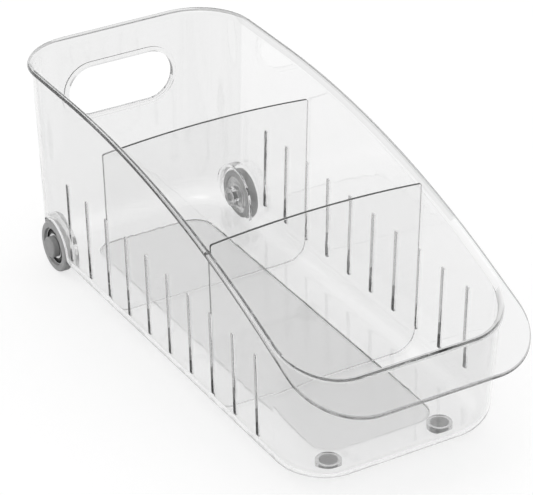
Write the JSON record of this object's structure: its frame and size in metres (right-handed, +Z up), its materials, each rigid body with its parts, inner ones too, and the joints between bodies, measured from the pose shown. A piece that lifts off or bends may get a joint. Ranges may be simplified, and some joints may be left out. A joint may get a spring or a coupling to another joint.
{
  "type": "fridge drawer organizer",
  "caption": "Clear open-top rolling storage bin for a fridge shelf, with a hand hole, a low front lip, slotted sides, lift-out dividers, rear wheels and front feet.",
  "frame": {"origin": "on the surface that the bin stands on, under the middle of its plan", "axes": "+Z up, +Y from the low front lip to the tall rear wall with the hand hole, +X to the right seen from the front"},
  "size_m": [0.1524, 0.376, 0.139],
  "materials": {
    "clear_plastic": "clear, polished, with a lightly frosted floor panel",
    "wheel_rubber": "matte grey",
    "grey_plastic": "semi-gloss grey",
    "foot_rubber": "matte grey"
  },
  "bodies": {
    "bin": {"bin_body": "clear_plastic", "left_axle_pin": "grey_plastic", "right_axle_pin": "grey_plastic", "left_front_foot": "foot_rubber", "right_front_foot": "foot_rubber"},
    "left_wheel": {"left_tyre": "wheel_rubber", "left_wheel_hub": "grey_plastic"},
    "right_wheel": {"right_tyre": "wheel_rubber", "right_wheel_hub": "grey_plastic"},
    "rear_divider": {"rear_divider": "clear_plastic"},
    "front_divider": {"front_divider": "clear_plastic"}
  },
  "joints": [
    {"name": "left_wheel_spin", "type": "hinge", "parent": "bin", "child": "left_wheel", "pos_m": [-0.067, 0.14775, 0.0167], "axis": [1, 0, 0], "continuous": true},
    {"name": "right_wheel_spin", "type": "hinge", "parent": "bin", "child": "right_wheel", "pos_m": [0.067, 0.14775, 0.0167], "axis": [1, 0, 0], "continuous": true},
    {"name": "rear_divider_lift", "type": "slide", "parent": "bin", "child": "rear_divider", "axis": [0, 0, 1], "range_m": [0, 0.135]},
    {"name": "front_divider_lift", "type": "slide", "parent": "bin", "child": "front_divider", "axis": [0, 0, 1], "range_m": [0, 0.115]}
  ]
}
